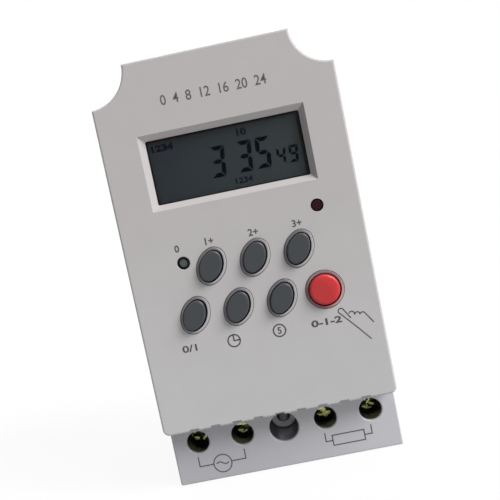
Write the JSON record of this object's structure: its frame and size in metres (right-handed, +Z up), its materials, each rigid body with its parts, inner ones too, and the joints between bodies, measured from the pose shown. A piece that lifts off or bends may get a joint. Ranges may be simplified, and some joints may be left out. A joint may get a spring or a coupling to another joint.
{
  "type": "digital timer",
  "caption": "Digital timer for a wall or 35 mm rail: scooped front cover with display, oval keys and a red key, terminal step with rising screw clamps, sprung rail clip.",
  "frame": {"origin": "centre of the wall face, on the centre line of the rail recess, halfway up the case", "axes": "+X to the right seen from the front, +Y towards the wall, +Z up; the front looks along -Y"},
  "size_m": [0.072, 0.057, 0.1306],
  "materials": {
    "cover_plastic": "light warm grey moulded plastic, fine satin",
    "base_plastic": "slightly darker grey moulded plastic",
    "window_clear": "clear pane",
    "display_glass": "dark blue-grey liquid crystal display",
    "black_plastic": "black moulded plastic",
    "conductive_rubber": "layered conductive rubber",
    "board_laminate": "green coated laminate",
    "grey_key": "dark grey key plastic",
    "red_key": "red key plastic",
    "led_red": "unlit dark red lens",
    "bright_metal": "bright metal can",
    "battery_wrap": "green shrink sleeve",
    "relay_case": "black relay case",
    "capacitor_yellow": "yellow film capacitor",
    "can_sleeve": "dark can sleeve",
    "varistor_blue": "blue coated disc",
    "resistor_tan": "tan coated resistor",
    "connector_white": "white header plastic",
    "ribbon_grey": "grey flat ribbon",
    "brass_parts": "plain brass strip",
    "screw_brass": "yellow passivated screws",
    "zinc_steel": "zinc plated steel",
    "spring_steel": "spring wire"
  },
  "bodies": {
    "case": {"front_cover": "cover_plastic", "rear_base": "base_plastic", "rear_base_foot": "base_plastic", "terminal_housing": "base_plastic", "display_window": "window_clear", "lcd_glass": "display_glass", "lcd_frame": "black_plastic", "rubber_strips": "conductive_rubber", "control_board": "board_laminate", "power_board": "board_laminate", "tact_switches": "black_plastic", "status_led": "led_red", "microcontroller": "black_plastic", "clock_crystal": "bright_metal", "backup_battery": "battery_wrap", "relay": "relay_case", "dropper_capacitor": "capacitor_yellow", "smoothing_capacitors": "can_sleeve", "varistor": "varistor_blue", "rectifier_diodes": "black_plastic", "resistors": "resistor_tan", "link_connectors": "connector_white", "link_ribbon": "ribbon_grey", "terminal_straps": "brass_parts", "clip_spring": "spring_steel", "case_screws": "zinc_steel", "control_board_screws": "zinc_steel", "power_board_screws": "zinc_steel"},
    "day_key": {"day_button": "grey_key", "day_plunger": "black_plastic"},
    "hour_key": {"hour_button": "grey_key", "hour_plunger": "black_plastic"},
    "minute_key": {"minute_button": "grey_key", "minute_plunger": "black_plastic"},
    "cancel_key": {"cancel_button": "grey_key", "cancel_plunger": "black_plastic"},
    "clock_key": {"clock_button": "grey_key", "clock_plunger": "black_plastic"},
    "program_key": {"program_button": "grey_key", "program_plunger": "black_plastic"},
    "manual_key": {"manual_button": "red_key", "manual_plunger": "black_plastic"},
    "reset_key": {"reset_button": "grey_key", "reset_plunger": "black_plastic"},
    "screw_1": {"terminal_screw_1": "screw_brass"},
    "cage_1": {"terminal_cage_1": "zinc_steel"},
    "screw_2": {"terminal_screw_2": "screw_brass"},
    "cage_2": {"terminal_cage_2": "zinc_steel"},
    "screw_3": {"terminal_screw_3": "screw_brass"},
    "cage_3": {"terminal_cage_3": "zinc_steel"},
    "screw_4": {"terminal_screw_4": "screw_brass"},
    "cage_4": {"terminal_cage_4": "zinc_steel"},
    "rail_latch": {"rail_clip": "black_plastic"}
  },
  "joints": [
    {"name": "day_press", "type": "slide", "parent": "case", "child": "day_key", "axis": [0, 1, 0], "range_m": [0, 0.0008], "stiffness_N_per_m": 1800, "springref_m": -0.0006},
    {"name": "hour_press", "type": "slide", "parent": "case", "child": "hour_key", "axis": [0, 1, 0], "range_m": [0, 0.0008], "stiffness_N_per_m": 1800, "springref_m": -0.0006},
    {"name": "minute_press", "type": "slide", "parent": "case", "child": "minute_key", "axis": [0, 1, 0], "range_m": [0, 0.0008], "stiffness_N_per_m": 1800, "springref_m": -0.0006},
    {"name": "cancel_press", "type": "slide", "parent": "case", "child": "cancel_key", "axis": [0, 1, 0], "range_m": [0, 0.0008], "stiffness_N_per_m": 1800, "springref_m": -0.0006},
    {"name": "clock_press", "type": "slide", "parent": "case", "child": "clock_key", "axis": [0, 1, 0], "range_m": [0, 0.0008], "stiffness_N_per_m": 1800, "springref_m": -0.0006},
    {"name": "program_press", "type": "slide", "parent": "case", "child": "program_key", "axis": [0, 1, 0], "range_m": [0, 0.0008], "stiffness_N_per_m": 1800, "springref_m": -0.0006},
    {"name": "manual_press", "type": "slide", "parent": "case", "child": "manual_key", "axis": [0, 1, 0], "range_m": [0, 0.0008], "stiffness_N_per_m": 1800, "springref_m": -0.0006},
    {"name": "reset_press", "type": "slide", "parent": "case", "child": "reset_key", "axis": [0, 1, 0], "range_m": [0, 0.0008], "stiffness_N_per_m": 1800, "springref_m": -0.0006},
    {"name": "screw_1_turn", "type": "hinge", "parent": "case", "child": "screw_1", "pos_m": [-0.0275, -0.039, -0.05227], "axis": [0, 1, 0], "range_deg": [0, 2520]},
    {"name": "cage_1_rise", "type": "slide", "parent": "case", "child": "cage_1", "axis": [0, -1, 0], "range_m": [0, 0.0049]},
    {"name": "screw_2_turn", "type": "hinge", "parent": "case", "child": "screw_2", "pos_m": [-0.01323, -0.039, -0.05227], "axis": [0, 1, 0], "range_deg": [0, 2520]},
    {"name": "cage_2_rise", "type": "slide", "parent": "case", "child": "cage_2", "axis": [0, -1, 0], "range_m": [0, 0.0049]},
    {"name": "screw_3_turn", "type": "hinge", "parent": "case", "child": "screw_3", "pos_m": [0.01323, -0.039, -0.05227], "axis": [0, 1, 0], "range_deg": [0, 2520]},
    {"name": "cage_3_rise", "type": "slide", "parent": "case", "child": "cage_3", "axis": [0, -1, 0], "range_m": [0, 0.0049]},
    {"name": "screw_4_turn", "type": "hinge", "parent": "case", "child": "screw_4", "pos_m": [0.0275, -0.039, -0.05227], "axis": [0, 1, 0], "range_deg": [0, 2520]},
    {"name": "cage_4_rise", "type": "slide", "parent": "case", "child": "cage_4", "axis": [0, -1, 0], "range_m": [0, 0.0049]},
    {"name": "rail_clip_slide", "type": "slide", "parent": "case", "child": "rail_latch", "axis": [0, 0, -1], "range_m": [0, 0.003], "stiffness_N_per_m": 900, "springref_m": -0.003, "deforming": ["clip_spring"]}
  ],
  "couplings": [
    {"joint": "screw_1_turn", "follows": "cage_1_rise", "rad_per_m": 8975.9},
    {"joint": "screw_2_turn", "follows": "cage_2_rise", "rad_per_m": 8975.9},
    {"joint": "screw_3_turn", "follows": "cage_3_rise", "rad_per_m": 8975.9},
    {"joint": "screw_4_turn", "follows": "cage_4_rise", "rad_per_m": 8975.9}
  ]
}
